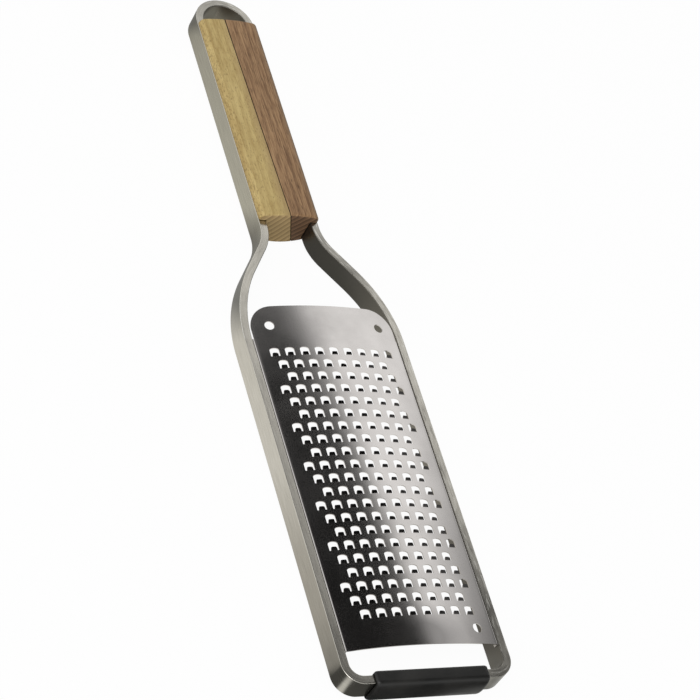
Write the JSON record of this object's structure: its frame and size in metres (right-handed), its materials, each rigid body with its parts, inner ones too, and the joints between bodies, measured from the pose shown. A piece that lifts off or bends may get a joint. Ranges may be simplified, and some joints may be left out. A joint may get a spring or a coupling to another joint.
{
  "type": "hand grater",
  "caption": "Flat coarse hand grater: arched steel blade with raised teeth in a bent bar frame, light and dark wooden handle, hanging loop and rubber foot.",
  "frame": {"origin": "middle of the bounding box's bottom, on the surface that the grater lies on with its teeth up", "axes": "+X across the grater, +Y from the foot to the hanging loop, +Z out of the toothed face"},
  "size_m": [0.0676, 0.317, 0.0172],
  "materials": {
    "frame_steel": "fine brushed, with a bright edge",
    "blade_steel": "smooth rolled sheet, satin to bright",
    "light_wood": "oiled, fine straight grain",
    "dark_wood": "oiled, fine straight grain",
    "rubber": "matt moulded"
  },
  "bodies": {
    "root": {"frame": "frame_steel", "blade": "blade_steel", "handle_left": "light_wood", "handle_right": "dark_wood", "foot": "rubber"}
  },
  "joints": []
}
